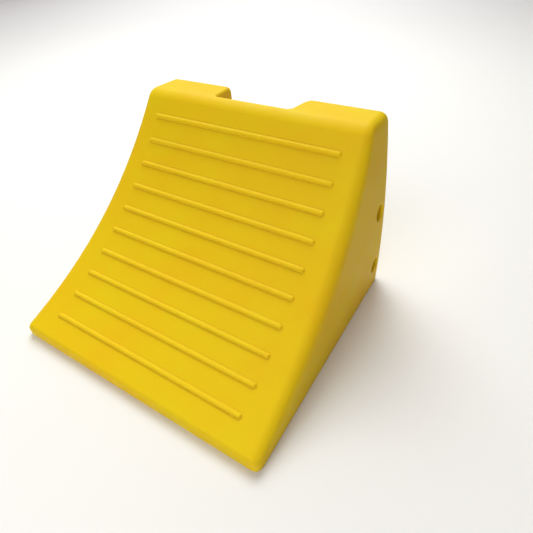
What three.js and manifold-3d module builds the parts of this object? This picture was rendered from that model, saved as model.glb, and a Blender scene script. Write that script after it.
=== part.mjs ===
// A wheel chock: a moulded wedge with a tyre-shaped ribbed face, built as a yellow shell over
// three light cores, with three rubber soles in its base and four sleeves in its rope holes.
// Millimetres. x runs across the chock, y from the toe to the back, z up from the floor.
import * as THREE from "three";
import { mergeVertices } from "three/addons/utils/BufferGeometryUtils.js";
import Module from "manifold-3d";

const wasm = await Module();
wasm.setup();

// Overall size and the curved face.
const WIDTH = 305;
const DEPTH = 279;
const HEIGHT = 203;
const FACE_RADIUS = 460;
const FACE_TOP_Y = 232;
const TOE_HEIGHT = 13.8;
const NOSE_ROUNDING = 2.5;
const SIDE_DRAFT = 0.086; // how far each side leans in for each millimetre of height
const EDGE_RADIUS = 10;
const TOE_CORNER_RADIUS = 7;
const BACK_CORNER_RADIUS = 7;
const TOP_BACK_RADIUS = 7;

// Traction ribs on the face.
const RIB_COUNT = 10;
const RIB_PITCH = 27.75;
const FIRST_RIB_HEIGHT = 23.8;
const RIB_WIDTH = 4.6;
const RIB_RISE = 2;
const RIB_ROOT = 4;
const RIB_HALF_LENGTH = 120.7;
const RIB_TAPER = 0.042;

// Hand channel down the middle of the back.
const CHANNEL_FRONT_Y = 242.8;
const CHANNEL_HALF_FRONT = 45;
const CHANNEL_HALF_BACK = 49;
const CHANNEL_FILLET = 3.5;
const CHANNEL_LIP = 5;

// Rope holes through the two posts beside the channel, and the sleeves in them.
const HOLE_RADIUS = 8.5;
const HOLE_Y = 260;
const HOLE_HEIGHTS = { lower: 32, upper: 103 };
const HOLE_FLARE = 3;
const SLEEVE_WALL = 2.5;
const SLEEVE_SETBACK = 4;

// Walls, bays, cores and rubber soles.
const WALL = 11;
const WEB = 10;
const BAY_TOE_Y = 38;
const SOLE_THICKNESS = 8;
const GROOVE_PITCH = 16;
const GROOVE_WIDTH = 5;
const GROOVE_DEPTH = 3;
const GAP = 0.3;

const OVERSHOOT = 30; // how far cutting tools reach past what they cut
const WELD_DISTANCE = 1e-4; // corners nearer than this are one corner

// How finely each kind of curve is cut into flats.
const ROUND_SEGMENTS = 20;
const CORNER_SEGMENTS = 6;
const EDGE_SEGMENTS = 4;
const FLARE_SEGMENTS = 3;
const RIB_EDGE_SEGMENTS = 2;

// The axis of the tyre that the face fits lies on a circle of that radius through both face ends.
function faceCentre() {
  const toe = new THREE.Vector2(0, TOE_HEIGHT);
  const top = new THREE.Vector2(FACE_TOP_Y, HEIGHT);
  const chord = top.clone().sub(toe);
  const reach = Math.sqrt(FACE_RADIUS ** 2 - chord.lengthSq() / 4);
  const outward = new THREE.Vector2(-chord.y, chord.x).normalize();
  return toe.add(top).multiplyScalar(0.5).addScaledVector(outward, reach);
}

const CENTRE = faceCentre();

const halfWidth = (z) => WIDTH / 2 - SIDE_DRAFT * z;
const faceY = (z, radius) => CENTRE.x + Math.sqrt(radius ** 2 - (CENTRE.y - z) ** 2);
const faceAngle = (z, radius) => Math.asin((z - CENTRE.y) / radius);

function toSolid(geometry) {
  const bare = geometry.index ? geometry.toNonIndexed() : geometry.clone();
  bare.deleteAttribute("normal");
  bare.deleteAttribute("uv");
  const merged = mergeVertices(bare, WELD_DISTANCE);
  const index = Array.from(merged.index.array);
  const kept = [];
  for (let i = 0; i < index.length; i += 3) {
    const [a, b, c] = index.slice(i, i + 3);
    if (a !== b && b !== c && c !== a) kept.push(a, b, c);
  }
  return new wasm.Manifold(
    new wasm.Mesh({
      numProp: 3,
      vertProperties: new Float32Array(merged.attributes.position.array),
      triVerts: new Uint32Array(kept),
    }),
  );
}

function toGeometry(solid) {
  const mesh = solid.getMesh();
  const geometry = new THREE.BufferGeometry();
  geometry.setAttribute("position", new THREE.BufferAttribute(mesh.vertProperties, 3));
  geometry.setIndex(new THREE.BufferAttribute(mesh.triVerts, 1));
  geometry.computeVertexNormals();
  return geometry;
}

// Turns a shape drawn in (y, z) into a prism along x, centred on x = 0.
function prismAcross(shape, width, bevel = 0) {
  const geometry = new THREE.ExtrudeGeometry(shape, {
    depth: width - 2 * bevel,
    bevelEnabled: bevel > 0,
    bevelThickness: bevel,
    bevelSize: bevel,
    bevelOffset: -bevel,
    bevelSegments: EDGE_SEGMENTS,
    curveSegments: ROUND_SEGMENTS,
  });
  geometry.translate(0, 0, bevel - width / 2);
  const turn = new THREE.Matrix4().makeBasis(
    new THREE.Vector3(0, 1, 0),
    new THREE.Vector3(0, 0, 1),
    new THREE.Vector3(1, 0, 0),
  );
  return geometry.applyMatrix4(turn);
}

// Turns a shape drawn in (x, y) into an upright prism between two heights.
function prismUp(shape, low, high) {
  const geometry = new THREE.ExtrudeGeometry(shape, {
    depth: high - low,
    bevelEnabled: false,
    curveSegments: CORNER_SEGMENTS,
  });
  return geometry.translate(0, 0, low);
}

function block(low, high) {
  const size = low.map((value, i) => high[i] - value);
  const middle = low.map((value, i) => (high[i] + value) / 2);
  return toSolid(new THREE.BoxGeometry(...size).translate(...middle));
}

// Leans the sides of a geometry in with height, as the mould's draft does.
function withDraft(geometry) {
  const points = geometry.attributes.position;
  for (let i = 0; i < points.count; i += 1) {
    points.setX(i, (points.getX(i) * halfWidth(points.getZ(i))) / halfWidth(0));
  }
  return geometry;
}

// The side view of the wedge, run on below the floor and behind the back so that only its face
// and top edges get the soft rounding.
function wedgeShape() {
  const shape = new THREE.Shape();
  shape.moveTo(0, -OVERSHOOT);
  shape.lineTo(DEPTH + OVERSHOOT, -OVERSHOOT);
  shape.lineTo(DEPTH + OVERSHOOT, HEIGHT);
  const start = faceAngle(HEIGHT, FACE_RADIUS);
  const end = faceAngle(TOE_HEIGHT, FACE_RADIUS);
  shape.absarc(CENTRE.x, CENTRE.y, FACE_RADIUS, start, end, true);
  return shape;
}

// The block that trims the wedge at the floor and the back, and blunts its nose.
function trimShape() {
  const noseBack = faceY(TOE_HEIGHT + NOSE_ROUNDING, FACE_RADIUS);
  const shape = new THREE.Shape();
  shape.moveTo(0, 0);
  shape.lineTo(DEPTH, 0);
  shape.lineTo(DEPTH, HEIGHT - TOP_BACK_RADIUS);
  shape.quadraticCurveTo(DEPTH, HEIGHT, DEPTH - TOP_BACK_RADIUS, HEIGHT);
  shape.lineTo(noseBack, HEIGHT);
  shape.lineTo(noseBack, TOE_HEIGHT + NOSE_ROUNDING);
  shape.quadraticCurveTo(0, TOE_HEIGHT, 0, TOE_HEIGHT - NOSE_ROUNDING);
  return shape;
}

// The footprint, with wide corners at the toe and tight ones at the back.
function planShape() {
  const half = WIDTH / 2;
  const shape = new THREE.Shape();
  shape.moveTo(-half, TOE_CORNER_RADIUS);
  shape.quadraticCurveTo(-half, 0, TOE_CORNER_RADIUS - half, 0);
  shape.lineTo(half - TOE_CORNER_RADIUS, 0);
  shape.quadraticCurveTo(half, 0, half, TOE_CORNER_RADIUS);
  shape.lineTo(half, DEPTH - BACK_CORNER_RADIUS);
  shape.quadraticCurveTo(half, DEPTH, half - BACK_CORNER_RADIUS, DEPTH);
  shape.lineTo(BACK_CORNER_RADIUS - half, DEPTH);
  shape.quadraticCurveTo(-half, DEPTH, -half, DEPTH - BACK_CORNER_RADIUS);
  return shape;
}

function outerWedge() {
  const wedge = toSolid(withDraft(prismAcross(wedgeShape(), WIDTH, EDGE_RADIUS)));
  const trim = toSolid(prismAcross(trimShape(), WIDTH + 2 * OVERSHOOT));
  const plan = toSolid(withDraft(prismUp(planShape(), 0, HEIGHT)));
  return wedge.intersect(trim).intersect(plan);
}

// A bar with round ends, lying along x with its top facing +z.
function ribGeometry(halfLength) {
  const half = RIB_WIDTH / 2;
  const shape = new THREE.Shape();
  shape.absarc(halfLength - half, 0, half, -Math.PI / 2, Math.PI / 2, false);
  shape.absarc(half - halfLength, 0, half, Math.PI / 2, (3 * Math.PI) / 2, false);
  return new THREE.ExtrudeGeometry(shape, {
    depth: RIB_ROOT,
    bevelEnabled: true,
    bevelThickness: RIB_RISE,
    bevelSize: RIB_RISE,
    bevelOffset: -RIB_RISE,
    bevelSegments: RIB_EDGE_SEGMENTS,
    curveSegments: CORNER_SEGMENTS,
  });
}

function rib(number) {
  const angle = faceAngle(FIRST_RIB_HEIGHT, FACE_RADIUS) + (number * RIB_PITCH) / FACE_RADIUS;
  const outward = new THREE.Vector3(0, -Math.cos(angle), -Math.sin(angle));
  const upSlope = new THREE.Vector3(0, -Math.sin(angle), Math.cos(angle));
  const foot = new THREE.Vector3(0, CENTRE.x, CENTRE.y).addScaledVector(outward, -FACE_RADIUS);
  const geometry = ribGeometry(RIB_HALF_LENGTH - RIB_TAPER * foot.z);
  geometry.translate(0, 0, -RIB_ROOT);
  const place = new THREE.Matrix4().makeBasis(new THREE.Vector3(1, 0, 0), upSlope, outward);
  return toSolid(geometry.applyMatrix4(place.setPosition(foot)));
}

function channelShape() {
  const shape = new THREE.Shape();
  const front = CHANNEL_FRONT_Y;
  const deep = CHANNEL_HALF_FRONT - CHANNEL_FILLET;
  shape.moveTo(CHANNEL_HALF_BACK + CHANNEL_LIP, DEPTH + OVERSHOOT);
  shape.lineTo(-CHANNEL_HALF_BACK - CHANNEL_LIP, DEPTH + OVERSHOOT);
  shape.lineTo(-CHANNEL_HALF_BACK - CHANNEL_LIP, DEPTH);
  shape.quadraticCurveTo(-CHANNEL_HALF_BACK, DEPTH, -CHANNEL_HALF_BACK, DEPTH - CHANNEL_LIP);
  shape.lineTo(-CHANNEL_HALF_FRONT, front + CHANNEL_FILLET);
  shape.quadraticCurveTo(-CHANNEL_HALF_FRONT, front, -deep, front);
  shape.lineTo(deep, front);
  shape.quadraticCurveTo(CHANNEL_HALF_FRONT, front, CHANNEL_HALF_FRONT, front + CHANNEL_FILLET);
  shape.lineTo(CHANNEL_HALF_BACK, DEPTH - CHANNEL_LIP);
  shape.quadraticCurveTo(CHANNEL_HALF_BACK, DEPTH, CHANNEL_HALF_BACK + CHANNEL_LIP, DEPTH);
  return shape;
}

// The wall of the channel at the holes, between its front corner and its back lip.
function channelHalf(y) {
  const straightFront = CHANNEL_FRONT_Y + CHANNEL_FILLET;
  const share = (y - straightFront) / (DEPTH - CHANNEL_LIP - straightFront);
  return THREE.MathUtils.lerp(CHANNEL_HALF_FRONT, CHANNEL_HALF_BACK, share);
}

// Spins a closed outline of [distance along the axis, radius] pairs about a line along x.
function turned(outline, side, height) {
  const points = outline.map(([along, radius]) => new THREE.Vector2(radius, along));
  const geometry = new THREE.LatheGeometry(points, ROUND_SEGMENTS);
  geometry.rotateZ(side > 0 ? -Math.PI / 2 : Math.PI / 2);
  return toSolid(geometry.translate(0, HOLE_Y, height));
}

function sleeveSpan(height, gap = 0) {
  return [
    channelHalf(HOLE_Y) + SLEEVE_SETBACK - gap,
    halfWidth(height) - SLEEVE_SETBACK + gap,
  ];
}

// Everything a rope hole takes out of the shell: the bore, the sleeve's seat and a round lip at
// each mouth.
function holeCut(side, height) {
  const inner = channelHalf(HOLE_Y);
  const outer = halfWidth(height);
  const [seatStart, seatEnd] = sleeveSpan(height, GAP);
  const seatRadius = HOLE_RADIUS + SLEEVE_WALL + GAP;
  const mouthRadius = HOLE_RADIUS + HOLE_FLARE;
  const outline = [
    [inner - OVERSHOOT / 2, 0],
    [inner - OVERSHOOT / 2, mouthRadius],
  ];
  for (let i = 0; i <= FLARE_SEGMENTS; i += 1) {
    const turn = (i / FLARE_SEGMENTS) * (Math.PI / 2);
    const along = inner + HOLE_FLARE * (1 - Math.cos(turn));
    outline.push([along, mouthRadius - HOLE_FLARE * Math.sin(turn)]);
  }
  outline.push([seatStart, HOLE_RADIUS], [seatStart, seatRadius]);
  outline.push([seatEnd, seatRadius], [seatEnd, HOLE_RADIUS]);
  for (let i = FLARE_SEGMENTS; i >= 0; i -= 1) {
    const turn = (i / FLARE_SEGMENTS) * (Math.PI / 2);
    const along = outer - HOLE_FLARE * (1 - Math.cos(turn));
    outline.push([along, mouthRadius - HOLE_FLARE * Math.sin(turn)]);
  }
  outline.push([outer + OVERSHOOT, mouthRadius], [outer + OVERSHOOT, 0]);
  return turned(outline, side, height);
}

function sleeve(side, height) {
  const [start, end] = sleeveSpan(height);
  const outside = HOLE_RADIUS + SLEEVE_WALL;
  return turned(
    [
      [start, HOLE_RADIUS],
      [start, outside],
      [end, outside],
      [end, HOLE_RADIUS],
      [start, HOLE_RADIUS],
    ],
    side,
    height,
  );
}

// The hollow under the face, before the webs divide it. A bigger inset makes what fills it.
function hollow(inset) {
  const radius = FACE_RADIUS + WALL + inset;
  const top = HEIGHT - WALL - inset;
  const back = CHANNEL_FRONT_Y - WALL - inset;
  const toe = BAY_TOE_Y + inset;
  const toeHeight = CENTRE.y - Math.sqrt(radius ** 2 - (toe - CENTRE.x) ** 2);
  const topY = faceY(top, radius);
  const shape = new THREE.Shape();
  shape.moveTo(toe, -OVERSHOOT);
  shape.lineTo(back, -OVERSHOOT);
  if (topY < back) shape.lineTo(back, top);
  const highest = topY < back ? top : CENTRE.y - Math.sqrt(radius ** 2 - (back - CENTRE.x) ** 2);
  shape.absarc(
    CENTRE.x,
    CENTRE.y,
    radius,
    faceAngle(highest, radius),
    faceAngle(toeHeight, radius),
    true,
  );
  return toSolid(withDraft(prismAcross(shape, WIDTH - 2 * (WALL + inset))));
}

const BAYS = {
  left: [-WIDTH, -CHANNEL_HALF_BACK - WEB / 2],
  centre: [WEB / 2 - CHANNEL_HALF_BACK, CHANNEL_HALF_BACK - WEB / 2],
  right: [CHANNEL_HALF_BACK + WEB / 2, WIDTH],
};

function bay(name, inset, low, high) {
  const [from, to] = BAYS[name];
  const slab = block([from + inset, 0, low], [to - inset, DEPTH, high]);
  return hollow(inset).intersect(slab);
}

const core = (name) => bay(name, GAP, SOLE_THICKNESS + GAP, HEIGHT);

function rubberSole(name) {
  let sole = bay(name, GAP, 0, SOLE_THICKNESS);
  const length = CHANNEL_FRONT_Y - WALL - BAY_TOE_Y;
  const grooves = Math.floor(length / GROOVE_PITCH);
  const margin = (length - (grooves - 1) * GROOVE_PITCH) / 2;
  for (let i = 0; i < grooves; i += 1) {
    const y = BAY_TOE_Y + margin + i * GROOVE_PITCH;
    const low = [-WIDTH, y - GROOVE_WIDTH / 2, -OVERSHOOT];
    const high = [WIDTH, y + GROOVE_WIDTH / 2, GROOVE_DEPTH];
    sole = sole.subtract(block(low, high));
  }
  return sole;
}

function shell() {
  let body = outerWedge();
  for (let i = 0; i < RIB_COUNT; i += 1) body = body.add(rib(i));
  body = body.subtract(toSolid(prismUp(channelShape(), -OVERSHOOT, HEIGHT + OVERSHOOT)));
  for (const name of Object.keys(BAYS)) {
    body = body.subtract(bay(name, 0, -OVERSHOOT, HEIGHT));
  }
  for (const height of Object.values(HOLE_HEIGHTS)) {
    body = body.subtract(holeCut(1, height)).subtract(holeCut(-1, height));
  }
  return body;
}

const MATERIALS = {
  urethane: new THREE.MeshStandardMaterial({ color: 0xf7c80f, roughness: 0.42, metalness: 0 }),
  sleeve: new THREE.MeshStandardMaterial({ color: 0xb8860f, roughness: 0.5, metalness: 0 }),
  foam: new THREE.MeshStandardMaterial({ color: 0xd9d4c4, roughness: 0.95, metalness: 0 }),
  rubber: new THREE.MeshStandardMaterial({ color: 0x1c1c1d, roughness: 0.85, metalness: 0 }),
};

const chock = new THREE.Group();
chock.position.y = -DEPTH / 2;

function addPiece(name, solid, material) {
  const piece = new THREE.Mesh(toGeometry(solid), MATERIALS[material].clone());
  piece.name = name;
  chock.add(piece);
}

addPiece("chock_shell", shell(), "urethane");
for (const name of Object.keys(BAYS)) {
  addPiece(`core_${name}`, core(name), "foam");
  addPiece(`rubber_sole_${name}`, rubberSole(name), "rubber");
}
for (const [level, height] of Object.entries(HOLE_HEIGHTS)) {
  addPiece(`rope_sleeve_${level}_right`, sleeve(1, height), "sleeve");
  addPiece(`rope_sleeve_${level}_left`, sleeve(-1, height), "sleeve");
}

export default chock;
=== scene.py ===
"""The looks of a moulded wheel chock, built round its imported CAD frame.

Lengths in the shape functions are millimetres, in the frame's own axes: x across the chock, y from
the toe to the back, z up. Finished meshes are scaled to metres.
"""
import math

import bmesh
import bpy
import numpy as np
from mathutils import Matrix, Vector


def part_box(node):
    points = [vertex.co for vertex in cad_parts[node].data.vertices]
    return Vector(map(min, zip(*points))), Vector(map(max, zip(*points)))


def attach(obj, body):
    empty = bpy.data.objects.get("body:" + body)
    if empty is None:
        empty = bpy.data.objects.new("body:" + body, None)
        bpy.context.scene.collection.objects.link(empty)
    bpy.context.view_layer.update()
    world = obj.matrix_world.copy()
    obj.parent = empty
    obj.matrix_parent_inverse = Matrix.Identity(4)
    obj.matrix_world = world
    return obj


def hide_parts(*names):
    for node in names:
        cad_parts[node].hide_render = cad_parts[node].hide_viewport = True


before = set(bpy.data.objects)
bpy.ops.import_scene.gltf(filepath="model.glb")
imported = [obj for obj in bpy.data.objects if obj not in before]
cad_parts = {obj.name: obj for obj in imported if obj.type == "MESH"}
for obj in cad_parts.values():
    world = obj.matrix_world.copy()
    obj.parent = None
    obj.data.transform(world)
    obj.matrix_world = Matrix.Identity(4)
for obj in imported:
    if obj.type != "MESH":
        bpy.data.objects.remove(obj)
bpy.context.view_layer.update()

MM = 0.001

# The chock's overall size, from the frame.
LOW, HIGH = (np.array(corner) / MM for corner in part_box("chock_shell"))
WIDTH, _, HEIGHT = HIGH - LOW
TOE_Y, BACK_Y = LOW[1], HIGH[1]

# The curved face's ends in (y, z) and its radius, and the leaning sides, which stand a little proud
# at half height.
FACE_RADIUS = 460.0
FACE_TOP = (TOE_Y + 232.0, HEIGHT)
FACE_TOE = (TOE_Y, 13.8)
SIDE_DRAFT = 0.086
SIDE_BULGE = 4.0

# Edge rounding. The long edges beside the face are rounder at half height than at their ends.
SIDE_EDGE = 14.0
SIDE_EDGE_ENDS = 9.5
TOP_FRONT_EDGE = 8.0
TOE_CORNER = 8.5
NOSE_EDGE = 3.5
BACK_EDGE = 7.0
FLOOR_EDGE = 1.6

# Traction ribs.
RIB_COUNT = 10
RIB_PITCH = 27.75
FIRST_RIB_Z = 23.8
RIB_WIDTH = 4.6
RIB_RISE = 2.0
RIB_HALF_LENGTH = 120.7
RIB_TAPER = 0.042
RIB_CREST = 1.9
RIB_BLEND = 1.0
RIB_MARGIN = 2.5

# Hand channel.
CHANNEL_FRONT_Y = TOE_Y + 242.8
CHANNEL_HALF_FRONT = 45.0
CHANNEL_HALF_BACK = 49.0
CHANNEL_FILLET = 3.5
CHANNEL_TOP_EDGE = 4.0
CHANNEL_BACK_EDGE = 5.0

# Rope holes, and the seats that their sleeves lie in.
SLEEVES = {
    (level, side): f"rope_sleeve_{level}_{side}"
    for level in ("lower", "upper")
    for side in ("left", "right")
}
HOLE_RADIUS = 8.5
HOLE_FLARE = 3.0
SLEEVE_WALL = 2.5
SLEEVE_ROUNDING = 0.8
SLEEVE_SEGMENTS = 56
ROUNDING_STEPS = 5
GAP = 0.3

# The hollow under the face, the two webs that divide it, and the rubber soles that close it.
SIDES = ("left", "centre", "right")
WALL = 11.0
WEB = 10.0
BAY_TOE_Y = TOE_Y + 38.0
BAY_BACK_Y = CHANNEL_FRONT_Y - WALL
BAY_FILLET = 1.5
GROOVE_PITCH = 16.0
GROOVE_WIDTH = 5.0
GROOVE_DEPTH = 3.0
GROOVE_DRAFT = 0.5
SOLE_BEVEL = 0.7

# How finely the shell is meshed: even cells first. Each halving then splits what curves more
# sharply than its entry here, in one over millimetres.
CELL = 4.4
WIDE_CELL = 6.0
HALVINGS = (0.05, 0.2)
SETTLE_STEPS = 4
LEAST_STEEP = 0.2
SLOPE_REACH = 0.02
GRID_MARGIN = 2.0  # of empty space round the shell
RIB_END_MARGIN = 14.0
WALL_MARGIN = 10.0

# How far the painted highlight on edges and the painted shade in corners reach.
EDGE_REACH = 2.0

# The body's colour, and the stage in metres: floor, camera, world and lamps.
YELLOW = (0.86, 0.588, 0.009)
FLOOR_GAP = 0.0002
CAMERA_PLACE = (0.23774, -0.25009, 0.33813)
CAMERA_TARGET = (0.08467, -0.01152, 0.1)
CAMERA_LENS = 27.087
CAMERA_ROLL = -2.196
FILL_COLOR = (1.0, 0.75, 0.65, 1)
FILL_STRENGTH = 0.08
BACKDROP_COLOR = (0.86, 0.86, 0.86, 1)

# Soft boxes that face the middle of the chock: name, place, size, power and colour.
LAMPS = (
    ("key", (-0.64, 0.64, 1.66), 1.2, 22.0, (0.97, 1.0, 0.94)),
    ("back", (0.0, 0.9, 1.66), 1.2, 3.0, (0.97, 1.0, 0.94)),
    ("front", (0.0, -1.47, 1.13), 1.2, 12.6, (1.0, 1.0, 0.98)),
    ("front_right", (1.10, -1.10, 1.0), 1.2, 4.5, (1.0, 0.85, 0.85)),
)
# The one that keeps the floor behind the chock pale shines straight down.
BACKDROP_LAMP = ("backdrop", (-1.5, 2.5, 2.1), (-1.5, 2.5, 0), 3.0, 66.0, (1.0, 1.0, 1.0))


# ---------------------------------------------------------------- distance fields

def face_centre():
    """The tyre axis that the face curves round, in (y, z)."""
    toe = np.array(FACE_TOE)
    top = np.array(FACE_TOP)
    chord = top - toe
    reach = math.sqrt(FACE_RADIUS ** 2 - chord @ chord / 4)
    outward = np.array([-chord[1], chord[0]]) / np.linalg.norm(chord)
    return (toe + top) / 2 + outward * reach


FACE_CENTRE = face_centre()


def both(a, b, radius=0.0):
    """The space inside both a and b, with their shared edge rounded."""
    inner = np.minimum(-radius, np.maximum(a, b))
    return inner + np.hypot(np.maximum(a + radius, 0), np.maximum(b + radius, 0))


def either(a, b, radius):
    """The space inside a or b, with a fillet where they meet."""
    return -both(-a, -b, radius)


def smooth_step(value, start, end):
    share = np.clip((value - start) / (end - start), 0, 1)
    return share * share * (3 - 2 * share)


def hump(share):
    """0 at both ends of a stretch and 1 in its middle."""
    return 4 * share * (1 - share)


def half_width(z):
    return WIDTH / 2 - SIDE_DRAFT * z + SIDE_BULGE * hump(z / HEIGHT)


def rib_plan(x, y, z):
    """How far a point is outside the nearest rib's outline, measured along the face."""
    centre_y, centre_z = FACE_CENTRE
    angle = np.arctan2(z - centre_z, y - centre_y)
    first = math.asin((FIRST_RIB_Z - centre_z) / FACE_RADIUS)
    along = (angle - first) * FACE_RADIUS
    number = np.clip(np.round(along / RIB_PITCH), 0, RIB_COUNT - 1)
    across = np.abs(along - number * RIB_PITCH)
    end = RIB_HALF_LENGTH - RIB_WIDTH / 2 - RIB_TAPER * z
    return np.hypot(across, np.maximum(np.abs(x) - end, 0)) - RIB_WIDTH / 2


def ribs(x, y, z, face):
    """The ribs. face is the distance out of the face."""
    return both(rib_plan(x, y, z), np.abs(face) - RIB_RISE, RIB_CREST)


def channel(x, y):
    share = (y - CHANNEL_FRONT_Y) / (BACK_Y - CHANNEL_FRONT_Y)
    half = CHANNEL_HALF_FRONT + (CHANNEL_HALF_BACK - CHANNEL_HALF_FRONT) * share
    return both(np.abs(x) - half, CHANNEL_FRONT_Y - y, CHANNEL_FILLET)


def bay_half_width(z):
    """Half the width of the hollow, whose outer walls lean in as the sides do."""
    return (WIDTH / 2 - WALL) * (1 - SIDE_DRAFT * z / (WIDTH / 2))


def bays(x, y, z, face):
    """The three open-bottomed bays under the face."""
    hollow = both(face + WALL, z - (HEIGHT - WALL), BAY_FILLET)
    hollow = both(hollow, np.maximum(BAY_TOE_Y - y, y - BAY_BACK_Y), BAY_FILLET)
    hollow = both(hollow, np.abs(x) - bay_half_width(z), BAY_FILLET)
    web = np.abs(np.abs(x) - CHANNEL_HALF_BACK) - WEB / 2
    return both(hollow, -web, BAY_FILLET)


def hole_places():
    """(y, z, nearest x, furthest x) of the sleeve on the right side at each level."""
    for level in ("lower", "upper"):
        low, high = (np.array(corner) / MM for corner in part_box(SLEEVES[level, "right"]))
        yield (low[1] + high[1]) / 2, (low[2] + high[2]) / 2, low[0], high[0]


HOLES = list(hole_places())


def with_holes(body, x, y, z):
    """Bores with flared mouths, and a seat round each sleeve."""
    seat_radius = HOLE_RADIUS + SLEEVE_WALL + GAP
    for hole_y, hole_z, near, far in HOLES:
        out = np.hypot(y - hole_y, z - hole_z)
        body = both(body, HOLE_RADIUS - out, HOLE_FLARE)
        ends = np.maximum(near - GAP - np.abs(x), np.abs(x) - far - GAP)
        body = both(body, -np.maximum(out - seat_radius, ends))
    return body


def shell_distance(x, y, z):
    """How far a point is outside the shell's skin, negative inside it."""
    centre_y, centre_z = FACE_CENTRE
    face = FACE_RADIUS - np.hypot(y - centre_y, z - centre_z)
    side = (np.abs(x) - half_width(z)) / math.hypot(1, SIDE_DRAFT)
    body = both(face, z - HEIGHT, TOP_FRONT_EDGE)
    edge = SIDE_EDGE_ENDS + (SIDE_EDGE - SIDE_EDGE_ENDS) * hump(np.clip(z / HEIGHT, 0, 1))
    body = both(body, side, edge)
    body = either(body, ribs(x, y, z, face), RIB_BLEND)
    front = both(TOE_Y - y, side, TOE_CORNER)
    body = both(body, front, NOSE_EDGE)
    back = both(y - BACK_Y, -channel(x, y), CHANNEL_BACK_EDGE)
    near_back = smooth_step(y, BACK_Y - 2 * BACK_EDGE, BACK_Y - BACK_EDGE / 2)
    edge = CHANNEL_TOP_EDGE + (BACK_EDGE - CHANNEL_TOP_EDGE) * near_back
    body = both(body, back, edge)
    body = both(body, -bays(x, y, z, face))
    body = with_holes(body, x, y, z)
    return both(body, -z, FLOOR_EDGE)


def slope(points, distance):
    """The field's gradient at each point."""
    result = np.empty_like(points)
    for axis in range(3):
        step = np.zeros(3)
        step[axis] = SLOPE_REACH
        result[:, axis] = distance(*(points + step).T) - distance(*(points - step).T)
    return result / (2 * SLOPE_REACH)


def bend(points, distance, reach):
    """How sharply the surface curves within reach: positive on edges, negative in corners."""
    total = -6 * distance(*points.T)
    for axis in range(3):
        step = np.zeros(3)
        step[axis] = reach
        total += distance(*(points + step).T) + distance(*(points - step).T)
    return total / reach ** 2


def settle(points, distance, longest):
    """Moves each point onto the zero level along the field's slope."""
    for _ in range(SETTLE_STEPS):
        uphill = slope(points, distance)
        steep = np.maximum((uphill ** 2).sum(1), LEAST_STEEP)
        move = -uphill * (distance(*points.T) / steep)[:, None]
        length = np.linalg.norm(move, axis=1, keepdims=True)
        points = points + move * np.minimum(1, longest / np.maximum(length, 1e-9))
    return points


# ---------------------------------------------------------------- meshing a field

def spread(marks, cells):
    """Grid lines from mark to mark, each stretch cut into whole cells of about its own size."""
    lines = [marks[0]]
    for start, end, cell in zip(marks, marks[1:], cells):
        count = max(1, round((end - start) / cell))
        lines.extend(start + (end - start) * (i + 1) / count for i in range(count))
    return np.array(lines)


def cells_round(index, axis):
    """The four cells round each grid edge, in turning order about the edge."""
    first, second = (axis + 1) % 3, (axis + 2) % 3
    for back_first, back_second in ((1, 1), (0, 1), (0, 0), (1, 0)):
        cell = index.copy()
        cell[:, first] -= back_first
        cell[:, second] -= back_second
        yield cell


def surface_net(axes, distance):
    """A quad mesh of a distance field's zero level, with a vertex in each cell it crosses."""
    field = distance(*np.meshgrid(*axes, indexing="ij"))
    cells = tuple(n - 1 for n in field.shape)
    total = np.zeros(cells + (3,))
    count = np.zeros(cells)
    crossings = []
    for axis in range(3):
        low = np.take(field, range(field.shape[axis] - 1), axis)
        high = np.take(field, range(1, field.shape[axis]), axis)
        index = np.argwhere((low < 0) != (high < 0))
        before, after = low[tuple(index.T)], high[tuple(index.T)]
        crossings.append((index, before < 0))
        point = np.stack([axes[i][index[:, i]] for i in range(3)], 1)
        step = np.diff(axes[axis])[index[:, axis]]
        point[:, axis] += before / (before - after) * step
        for cell in cells_round(index, axis):
            np.add.at(total, tuple(cell.T), point)
            np.add.at(count, tuple(cell.T), 1)
    used = count > 0
    number = np.full(cells, -1)
    number[used] = np.arange(used.sum())
    quads = []
    for axis, (index, starts_inside) in enumerate(crossings):
        ring = np.stack([number[tuple(c.T)] for c in cells_round(index, axis)], 1)
        quads.append(np.where(starts_inside[:, None], ring, ring[:, ::-1]))
    return total[used] / count[used][:, None], np.concatenate(quads)


def mesh_object(name, points, faces):
    mesh = bpy.data.meshes.new(name)
    mesh.from_pydata((np.asarray(points) * MM).tolist(), [], [list(map(int, f)) for f in faces])
    mesh.validate()
    piece = bpy.data.objects.new(name, mesh)
    bpy.context.scene.collection.objects.link(piece)
    return piece


def vertices_of(piece):
    flat = np.empty(len(piece.data.vertices) * 3)
    piece.data.vertices.foreach_get("co", flat)
    return flat.reshape(-1, 3) / MM


def move_vertices(piece, points):
    piece.data.vertices.foreach_set("co", (points * MM).ravel())
    piece.data.update()


def halve_where_sharp(piece, distance, reach, least_bend):
    """Splits the outside's faces that curve sharply in two each way, and settles the new points."""
    points = vertices_of(piece)
    sharp = (np.abs(bend(points, distance, reach)) > least_bend) & ~in_bay(points)
    sharp |= on_rib(points)
    mesh = bmesh.new()
    mesh.from_mesh(piece.data)
    faces = [face for face in mesh.faces if any(sharp[v.index] for v in face.verts)]
    edges = list({edge for face in faces for edge in face.edges})
    bmesh.ops.subdivide_edges(mesh, edges=edges, cuts=1, use_grid_fill=True)
    mesh.to_mesh(piece.data)
    mesh.free()
    move_vertices(piece, settle(vertices_of(piece), distance, reach))


def shade_by_field(piece, distance):
    """Takes the normals from the field, so that the shading is as smooth as the surface."""
    for polygon in piece.data.polygons:
        polygon.use_smooth = True
    uphill = slope(vertices_of(piece), distance)
    uphill /= np.linalg.norm(uphill, axis=1, keepdims=True)
    piece.data.normals_split_custom_set_from_vertices(uphill.tolist())


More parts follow.
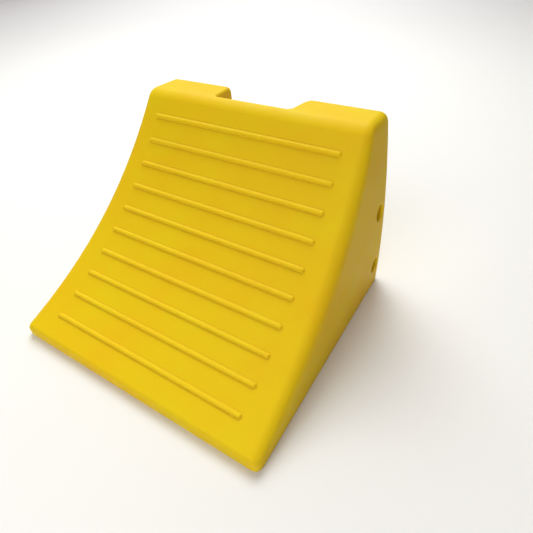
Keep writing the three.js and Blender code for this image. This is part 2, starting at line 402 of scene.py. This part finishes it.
def mark_edges(piece, distance):
    """Stores how much each point is an outside edge, or an inside corner, for the material's painted
    highlight and painted shade.
    """
    bends = bend(vertices_of(piece), distance, EDGE_REACH)
    for name, value in (("edge", bends), ("corner", -bends)):
        layer = piece.data.attributes.new(name, "FLOAT", "POINT")
        layer.data.foreach_set("value", np.clip(value * EDGE_REACH, 0, 1).astype(np.float32))


# ---------------------------------------------------------------- the pieces

def in_bay(points):
    """Which points lie on the walls of the bays or on their rims."""
    x, y, z = points.T
    face = FACE_RADIUS - np.hypot(y - FACE_CENTRE[0], z - FACE_CENTRE[1])
    return bays(x, y, z, face) < 2 * FLOOR_EDGE


def on_rib(points):
    """Which points lie on a rib or on the face beside it."""
    x, y, z = points.T
    face = FACE_RADIUS - np.hypot(y - FACE_CENTRE[0], z - FACE_CENTRE[1])
    return (rib_plan(x, y, z) < RIB_MARGIN) & (np.abs(face) < RIB_RISE + RIB_MARGIN)


def shell_grid():
    """Fine cells at the sides and the channel's walls, wide ones where the ribs run straight."""
    half = WIDTH / 2 + GRID_MARGIN
    rib_end = RIB_HALF_LENGTH - RIB_END_MARGIN
    wall_in = CHANNEL_HALF_FRONT - CHANNEL_FILLET - GRID_MARGIN
    wall_out = CHANNEL_HALF_BACK + WALL_MARGIN
    right = spread([0, wall_in, wall_out, rib_end, half], [WIDE_CELL, CELL, WIDE_CELL, CELL])
    x = np.concatenate([-right[:0:-1], right])
    y = spread([TOE_Y - GRID_MARGIN, BACK_Y + GRID_MARGIN], [CELL])
    z = spread([-GRID_MARGIN, HEIGHT + GRID_MARGIN], [CELL])
    return x, y, z


def make_shell():
    points, quads = surface_net(shell_grid(), shell_distance)
    piece = mesh_object("moulded_shell", settle(points, shell_distance, CELL), quads)
    for level, least_bend in enumerate(HALVINGS):
        halve_where_sharp(piece, shell_distance, CELL / 2 ** level, least_bend)
    shade_by_field(piece, shell_distance)
    mark_edges(piece, shell_distance)
    return piece


def apply_modifiers(piece):
    graph = bpy.context.evaluated_depsgraph_get()
    piece.data = bpy.data.meshes.new_from_object(piece.evaluated_get(graph))
    piece.modifiers.clear()


def smooth(piece, angle=math.radians(40)):
    for polygon in piece.data.polygons:
        polygon.use_smooth = True
    piece.data.set_sharp_from_angle(angle=angle)


def rounded_ring(start, end, inside, outside, rounding):
    """The closed outline, as (x, radius) pairs, of a tube wall with rounded ends."""
    corners = (
        (start + rounding, inside + rounding, 180),
        (end - rounding, inside + rounding, 270),
        (end - rounding, outside - rounding, 0),
        (start + rounding, outside - rounding, 90),
    )
    outline = []
    for along, radius, first in corners:
        for i in range(ROUNDING_STEPS + 1):
            turn = math.radians(first + 90 * i / ROUNDING_STEPS)
            outline.append((along + rounding * math.cos(turn), radius + rounding * math.sin(turn)))
    return outline


def make_sleeve(node):
    """A thin tube along x that lines a rope hole."""
    low, high = (np.array(corner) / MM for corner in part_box(node))
    axis_y, axis_z = (low[1] + high[1]) / 2, (low[2] + high[2]) / 2
    outside = HOLE_RADIUS + SLEEVE_WALL
    outline = rounded_ring(low[0], high[0], HOLE_RADIUS, outside, SLEEVE_ROUNDING)
    points = []
    for i in range(SLEEVE_SEGMENTS):
        turn = 2 * math.pi * i / SLEEVE_SEGMENTS
        for along, radius in outline:
            points.append((along, axis_y + radius * math.cos(turn), axis_z + radius * math.sin(turn)))
    count = len(outline)
    faces = []
    for i in range(SLEEVE_SEGMENTS):
        here, there = i * count, (i + 1) % SLEEVE_SEGMENTS * count
        for j in range(count):
            after = (j + 1) % count
            faces.append((here + j, there + j, there + after, here + after))
    piece = mesh_object(node.replace("rope_sleeve", "rope_sleeve_tube"), points, faces)
    smooth(piece)
    return piece


def sole_profile(low, high):
    """The sole's side view in (y, z): flat on top, with grooves across its underside."""
    length = BAY_BACK_Y - BAY_TOE_Y
    grooves = int(length // GROOVE_PITCH)
    first = BAY_TOE_Y + (length - (grooves - 1) * GROOVE_PITCH) / 2
    profile = [(low[1], low[2])]
    for i in range(grooves):
        middle = first + i * GROOVE_PITCH
        wide, narrow = GROOVE_WIDTH / 2, GROOVE_WIDTH / 2 - GROOVE_DRAFT
        profile.append((middle - wide, low[2]))
        profile.append((middle - narrow, low[2] + GROOVE_DEPTH))
        profile.append((middle + narrow, low[2] + GROOVE_DEPTH))
        profile.append((middle + wide, low[2]))
    profile.extend([(high[1], low[2]), (high[1], high[2]), (low[1], high[2])])
    return profile


def make_sole(side):
    """A rubber sole with bevelled cross grooves, its outer side leaning with the shell's wall."""
    low, high = (np.array(corner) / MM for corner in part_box(f"rubber_sole_{side}"))
    profile = sole_profile(low, high)
    points = []
    for end in (low[0], high[0]):
        for y, z in profile:
            leans = abs(end) > CHANNEL_HALF_BACK + WEB
            x = math.copysign(bay_half_width(z) - GAP, end) if leans else end
            points.append((x, y, z))
    count = len(profile)
    faces = [tuple(range(count - 1, -1, -1)), tuple(range(count, 2 * count))]
    for i in range(count):
        after = (i + 1) % count
        faces.append((i, after, after + count, i + count))
    piece = mesh_object(f"grooved_sole_{side}", points, faces)
    bevel = piece.modifiers.new("rounding", "BEVEL")
    bevel.width = SOLE_BEVEL * MM
    bevel.segments = 3
    bevel.limit_method = "ANGLE"
    apply_modifiers(piece)
    smooth(piece)
    return piece


# ---------------------------------------------------------------- materials

class Paint:
    """A material under construction: its node tree, with short calls for the usual nodes."""

    def __init__(self, name, roughness, color):
        self.material = bpy.data.materials.new(name)
        self.material.use_nodes = True
        self.tree = self.material.node_tree
        self.shader = self.tree.nodes["Principled BSDF"]
        self.shader.inputs["Roughness"].default_value = roughness
        self.shader.inputs["Base Color"].default_value = (*color, 1)
        self.place = self.node("ShaderNodeTexCoord").outputs["Object"]

    def node(self, kind, **inputs):
        made = self.tree.nodes.new(kind)
        for name, value in inputs.items():
            self.put(made.inputs[name], value)
        return made

    def put(self, socket, value):
        if isinstance(value, bpy.types.NodeSocket):
            self.tree.links.new(value, socket)
        else:
            socket.default_value = value

    def noise(self, size, detail=2.0, roughness=0.5):
        """Noise from 0 to 1 whose patches are about size millimetres across."""
        made = self.node("ShaderNodeTexNoise", Vector=self.place, Scale=1 / (size * MM))
        made.inputs["Detail"].default_value = detail
        made.inputs["Roughness"].default_value = roughness
        return made.outputs["Fac"]

    def between(self, fac, low, high, start=0.3, end=0.7):
        """A number from low to high as fac goes from start to end."""
        made = self.tree.nodes.new("ShaderNodeMapRange")
        self.put(made.inputs["Value"], fac)
        limits = {"From Min": start, "From Max": end, "To Min": low, "To Max": high}
        for name, value in limits.items():
            made.inputs[name].default_value = value
        return made.outputs["Result"]

    def mix(self, fac, first, second):
        """A colour from first to second as fac goes from 0 to 1."""
        made = self.tree.nodes.new("ShaderNodeMix")
        made.data_type = "RGBA"
        self.put(made.inputs["Factor"], fac)
        for socket, value in ((made.inputs[6], first), (made.inputs[7], second)):
            self.put(socket, (*value, 1) if isinstance(value, tuple) else value)
        return made.outputs[2]

    def mark(self, name):
        made = self.tree.nodes.new("ShaderNodeAttribute")
        made.attribute_name = name
        return made.outputs["Fac"]

    def bump(self, height, depth, below=None):
        """Raises the surface by up to depth millimetres where height is 1."""
        made = self.node("ShaderNodeBump", Height=height, Distance=depth * MM)
        if below is not None:
            self.put(made.inputs["Normal"], below)
        return made.outputs["Normal"]

    def set(self, **inputs):
        for name, value in inputs.items():
            self.put(self.shader.inputs[name.replace("_", " ")], value)
        return self.material


def shaded(color, share):
    return tuple(channel * share for channel in color)


def urethane():
    paint = Paint("yellow_urethane", 0.42, YELLOW)
    warm = (YELLOW[0], YELLOW[1] * 0.93, YELLOW[2])
    cool = (YELLOW[0] * 0.97, YELLOW[1] * 1.04, YELLOW[2])
    patches = paint.between(paint.noise(55, detail=3), 0, 1)
    color = paint.mix(patches, warm, cool)
    speckle = paint.between(paint.noise(1.4, detail=2), 0, 0.10)
    color = paint.mix(speckle, color, shaded(YELLOW, 0.8))
    # Painted shade: inside corners, such as the fillets at the foot of each rib, darkened towards
    # orange-brown.
    painted_shade = paint.between(paint.mark("corner"), 0, 0.35, 0.1, 0.9)
    color = paint.mix(painted_shade, color, (0.50, 0.27, 0.01))
    # Painted highlight: outside edges and rib crests lightened towards bright yellow.
    painted_highlight = paint.between(paint.mark("edge"), 0, 0.18, 0.15, 0.8)
    color = paint.mix(painted_highlight, color, (1.0, 0.78, 0.03))
    waves = paint.bump(paint.noise(38, detail=1), 0.9)
    skin = paint.bump(paint.noise(1.1, detail=2), 0.05, waves)
    rough = paint.between(paint.noise(9, detail=4), 0.46, 0.58)
    return paint.set(Base_Color=color, Roughness=rough, Normal=skin, Specular_IOR_Level=0.09)


def rubber():
    paint = Paint("sole_rubber", 0.8, (0.018, 0.018, 0.019))
    dust = paint.between(paint.noise(14, detail=5, roughness=0.65), 0, 0.6)
    color = paint.mix(dust, (0.014, 0.014, 0.015), (0.035, 0.034, 0.032))
    grain = paint.bump(paint.noise(0.9, detail=3), 0.08)
    rough = paint.between(paint.noise(5, detail=3), 0.68, 0.9)
    return paint.set(Base_Color=color, Roughness=rough, Normal=grain)


def amber():
    paint = Paint("amber_sleeve", 0.4, (0.40, 0.17, 0.01))
    streaks = paint.between(paint.noise(6, detail=4), 0, 1)
    color = paint.mix(streaks, (0.36, 0.15, 0.010), (0.44, 0.20, 0.012))
    skin = paint.bump(paint.noise(0.8, detail=2), 0.03)
    rough = paint.between(paint.noise(3), 0.34, 0.5)
    return paint.set(Base_Color=color, Roughness=rough, Normal=skin)


def foam():
    paint = Paint("core_foam", 0.95, (0.70, 0.66, 0.56))
    cells = paint.node("ShaderNodeTexVoronoi", Vector=paint.place, Scale=1 / (1.6 * MM))
    pores = cells.outputs["Distance"]
    color = paint.mix(paint.between(pores, 0, 0.6, 0.1, 0.6), (0.74, 0.70, 0.60), (0.52, 0.48, 0.38))
    surface = paint.bump(pores, -0.3)
    return paint.set(Base_Color=color, Normal=surface)


# ---------------------------------------------------------------- floor, lights, camera

def make_floor():
    bpy.ops.mesh.primitive_plane_add(size=8)
    floor = bpy.context.object
    floor.name = "floor"
    floor.location.z = -FLOOR_GAP
    paint = Paint("floor_white", 0.9, (0.9, 0.9, 0.9))
    floor.data.materials.append(paint.material)


def area_light(name, place, target, size, power, color):
    light = bpy.data.lights.new(name, "AREA")
    light.shape = "DISK"
    light.size = size
    light.energy = power
    light.color = color
    lamp = bpy.data.objects.new(name, light)
    lamp.location = place
    lamp.rotation_euler = (Vector(target) - Vector(place)).to_track_quat("-Z", "Y").to_euler()
    bpy.context.scene.collection.objects.link(lamp)


def make_camera():
    place, target = Vector(CAMERA_PLACE), Vector(CAMERA_TARGET)
    data = bpy.data.cameras.new("camera")
    data.lens = CAMERA_LENS
    data.sensor_width = 36
    camera = bpy.data.objects.new("camera", data)
    level = (target - place).to_track_quat("-Z", "Y").to_matrix().to_4x4()
    roll = Matrix.Rotation(math.radians(CAMERA_ROLL), 4, "Z")
    camera.matrix_world = Matrix.Translation(place) @ level @ roll
    bpy.context.scene.collection.objects.link(camera)
    bpy.context.scene.camera = camera


def make_world():
    """A dim fill that the camera sees as a pale backdrop."""
    world = bpy.data.worlds.new("studio")
    world.use_nodes = True
    nodes, links = world.node_tree.nodes, world.node_tree.links
    fill = nodes["Background"]
    fill.inputs["Color"].default_value = FILL_COLOR
    fill.inputs["Strength"].default_value = FILL_STRENGTH
    backdrop = nodes.new("ShaderNodeBackground")
    backdrop.inputs["Color"].default_value = BACKDROP_COLOR
    path = nodes.new("ShaderNodeLightPath")
    mix = nodes.new("ShaderNodeMixShader")
    links.new(path.outputs["Is Camera Ray"], mix.inputs["Fac"])
    links.new(fill.outputs["Background"], mix.inputs[1])
    links.new(backdrop.outputs["Background"], mix.inputs[2])
    links.new(mix.outputs["Shader"], nodes["World Output"].inputs["Surface"])
    bpy.context.scene.world = world


def make_lights():
    middle = (0, 0, HEIGHT * MM / 2)
    for name, place, size, power, color in LAMPS:
        area_light(name, place, middle, size, power, color)
    area_light(*BACKDROP_LAMP)


def finish_piece(piece, material, node):
    piece.data.materials.clear()
    piece.data.materials.append(material)
    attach(piece, "root")
    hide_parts(node)


bpy.context.scene.view_settings.view_transform = "Standard"
make_camera()
make_world()
make_floor()
make_lights()

finish_piece(make_shell(), urethane(), "chock_shell")
sleeve_paint = amber()
for node in SLEEVES.values():
    finish_piece(make_sleeve(node), sleeve_paint, node)
sole_paint = rubber()
core_paint = foam()
for side in SIDES:
    finish_piece(make_sole(side), sole_paint, f"rubber_sole_{side}")
    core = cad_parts[f"core_{side}"]
    core.data.materials.clear()
    core.data.materials.append(core_paint)

bpy.context.view_layer.update()
